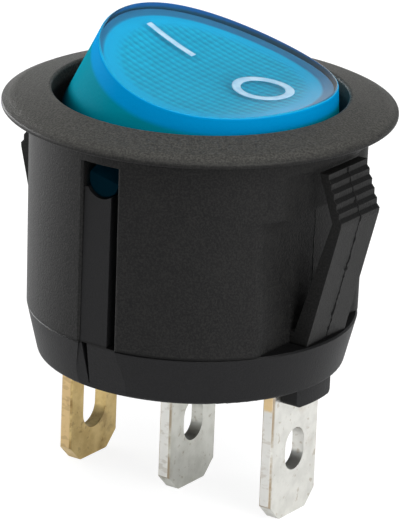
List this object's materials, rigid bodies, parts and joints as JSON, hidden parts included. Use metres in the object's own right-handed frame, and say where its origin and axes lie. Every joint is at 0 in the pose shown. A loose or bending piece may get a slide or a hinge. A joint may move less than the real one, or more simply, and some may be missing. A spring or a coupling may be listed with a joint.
{
  "type": "rocker switch",
  "caption": "Round panel rocker switch with a translucent blue dished rocker and a neon lamp inside, snap-in barrel with side latches, and push-on terminals.",
  "frame": {"origin": "centre of the round panel cut-out, on the panel's front face, where the bezel's underside seats", "axes": "+Z out of the panel along the switch axis, towards the user; +X towards the pressed side of the rocker, along the row of terminals; +Y along the rocker's pivot axis"},
  "size_m": [0.023, 0.023, 0.0284],
  "materials": {
    "housing_plastic": "moulded nylon, charcoal black, fine grain",
    "base_plastic": "moulded nylon, charcoal black",
    "lens_plastic": "clear cyan-blue polycarbonate, polished outside, dotted diffuser inside",
    "tinned_metal": "tin plate on brass, slightly mottled",
    "brass": "bare brass with light tarnish",
    "contact_metal": "silver alloy",
    "blade_copper": "copper alloy strip",
    "spring_steel": "drawn spring wire",
    "plunger_metal": "turned, nickel plated",
    "lamp_glass": "clear",
    "electrode_metal": "grey coated",
    "lead_wire": "tinned wire",
    "resistor_body": "lacquered",
    "sleeve_plastic": "cream sleeve"
  },
  "bodies": {
    "switch_body": {"housing": "housing_plastic", "base": "base_plastic", "terminal_line": "tinned_metal", "terminal_lamp": "brass", "terminal_common": "tinned_metal", "fixed_contact": "contact_metal", "lamp_spring": "spring_steel"},
    "rocker_body": {"rocker": "lens_plastic", "plunger_spring": "spring_steel", "lamp_bulb": "lamp_glass", "lamp_bead": "lamp_glass", "lamp_electrode_inner": "electrode_metal", "lamp_electrode_outer": "electrode_metal", "lamp_lead_stem": "lead_wire", "lamp_lead_resistor": "lead_wire", "resistor": "resistor_body", "resistor_lead": "lead_wire", "lead_sleeve": "sleeve_plastic"},
    "plunger_body": {"plunger": "plunger_metal"},
    "blade_body": {"contact_blade": "blade_copper", "moving_contact": "contact_metal"}
  },
  "joints": [
    {"name": "rocker_tilt", "type": "hinge", "parent": "switch_body", "child": "rocker_body", "pos_m": [0, 0, -0.002], "axis": [0, -1, 0], "range_deg": [0, 26.16], "deforming": ["lamp_spring"]},
    {"name": "blade_tilt", "type": "hinge", "parent": "switch_body", "child": "blade_body", "pos_m": [0, 0, -0.01125], "axis": [0, -1, 0], "range_deg": [-14.01, 0]},
    {"name": "plunger_slide", "type": "slide", "parent": "rocker_body", "child": "plunger_body", "axis": [0.2263, 0, 0.9741], "range_m": [0, 0.0006], "stiffness_N_per_m": 150, "deforming": ["plunger_spring"]}
  ],
  "couplings": [
    {"joint": "blade_tilt", "follows": "rocker_tilt", "ratio": -0.53517}
  ]
}
